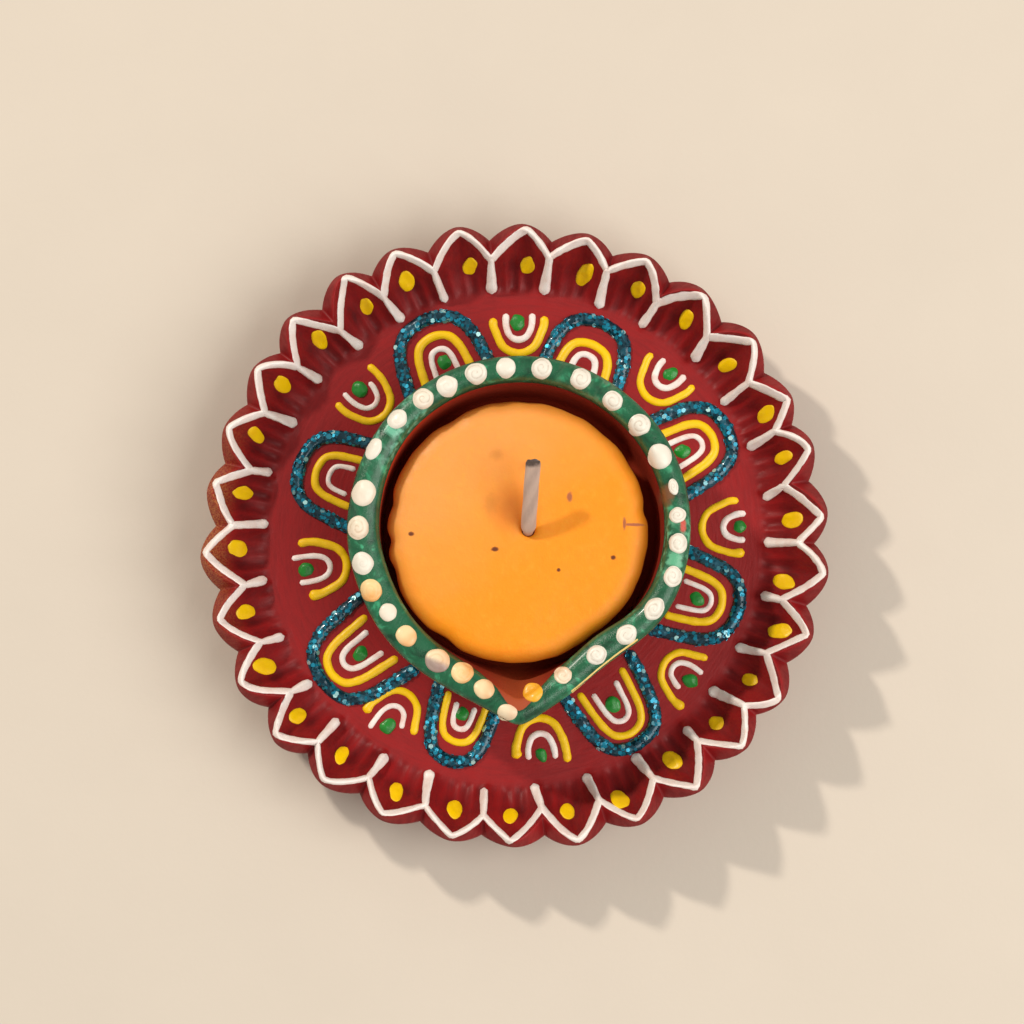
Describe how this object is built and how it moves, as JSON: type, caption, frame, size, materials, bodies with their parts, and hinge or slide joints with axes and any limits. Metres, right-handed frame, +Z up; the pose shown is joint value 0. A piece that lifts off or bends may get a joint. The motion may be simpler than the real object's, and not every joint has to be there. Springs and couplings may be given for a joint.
{
  "type": "diya oil lamp",
  "caption": "Painted clay diya: a petal-edged saucer, a spouted cup joined in its middle, raised relief paint and a loose wax candle that lifts out.",
  "frame": {"origin": "middle of the saucer's flat foot, at the surface it stands on", "axes": "+Z up; the cup's spout points along -Y; +X is to the right when the spout points at the viewer"},
  "size_m": [0.0913, 0.0916, 0.028],
  "materials": {
    "maroon_clay": "matte maroon poster paint brushed over fired clay",
    "green_clay": "green paint on the rim, bare orange-red fired clay inside",
    "slip_clay": "matte painted clay slip",
    "orange_wax": "soft translucent moulded wax",
    "tin": "thin pressed tinplate",
    "cotton": "waxed braided cotton, charred at the tip",
    "pearl_paint": "piped white relief paint, half gloss",
    "teal_glitter": "piped teal glitter paint, full gloss with flakes",
    "white_relief": "piped white relief paint",
    "yellow_relief": "piped yellow relief paint",
    "leaf_relief": "dotted leaf-green relief paint"
  },
  "bodies": {
    "lamp": {"petal_saucer": "maroon_clay", "diya_cup": "green_clay", "lute_coil": "slip_clay", "rim_bead_01": "pearl_paint", "rim_bead_02": "pearl_paint", "rim_bead_03": "pearl_paint", "rim_bead_04": "pearl_paint", "rim_bead_05": "pearl_paint", "rim_bead_06": "pearl_paint", "rim_bead_07": "pearl_paint", "rim_bead_08": "pearl_paint", "rim_bead_09": "pearl_paint", "rim_bead_10": "pearl_paint", "rim_bead_11": "pearl_paint", "rim_bead_12": "pearl_paint", "rim_bead_13": "pearl_paint", "rim_bead_14": "pearl_paint", "rim_bead_15": "pearl_paint", "rim_bead_16": "pearl_paint", "rim_bead_17": "pearl_paint", "rim_bead_18": "pearl_paint", "rim_bead_19": "pearl_paint", "rim_bead_20": "pearl_paint", "rim_bead_21": "pearl_paint", "rim_bead_22": "pearl_paint", "rim_bead_23": "pearl_paint", "rim_bead_24": "pearl_paint", "rim_bead_25": "pearl_paint", "rim_bead_26": "pearl_paint", "rim_bead_27": "pearl_paint", "rim_bead_28": "pearl_paint", "rim_bead_29": "pearl_paint", "rim_bead_30": "pearl_paint", "glitter_arch_1": "teal_glitter", "glitter_arch_2": "teal_glitter", "glitter_arch_3": "teal_glitter", "glitter_arch_4": "teal_glitter", "glitter_arch_5": "teal_glitter", "glitter_arch_6": "teal_glitter", "glitter_arch_7": "teal_glitter", "glitter_arch_8": "teal_glitter"},
    "candle": {"wax_disc": "orange_wax", "wick_sustainer": "tin", "cotton_wick": "cotton"}
  },
  "joints": [
    {"name": "candle_lift", "type": "slide", "parent": "lamp", "child": "candle", "axis": [0, 0, 1], "range_m": [0, 0.03]}
  ]
}
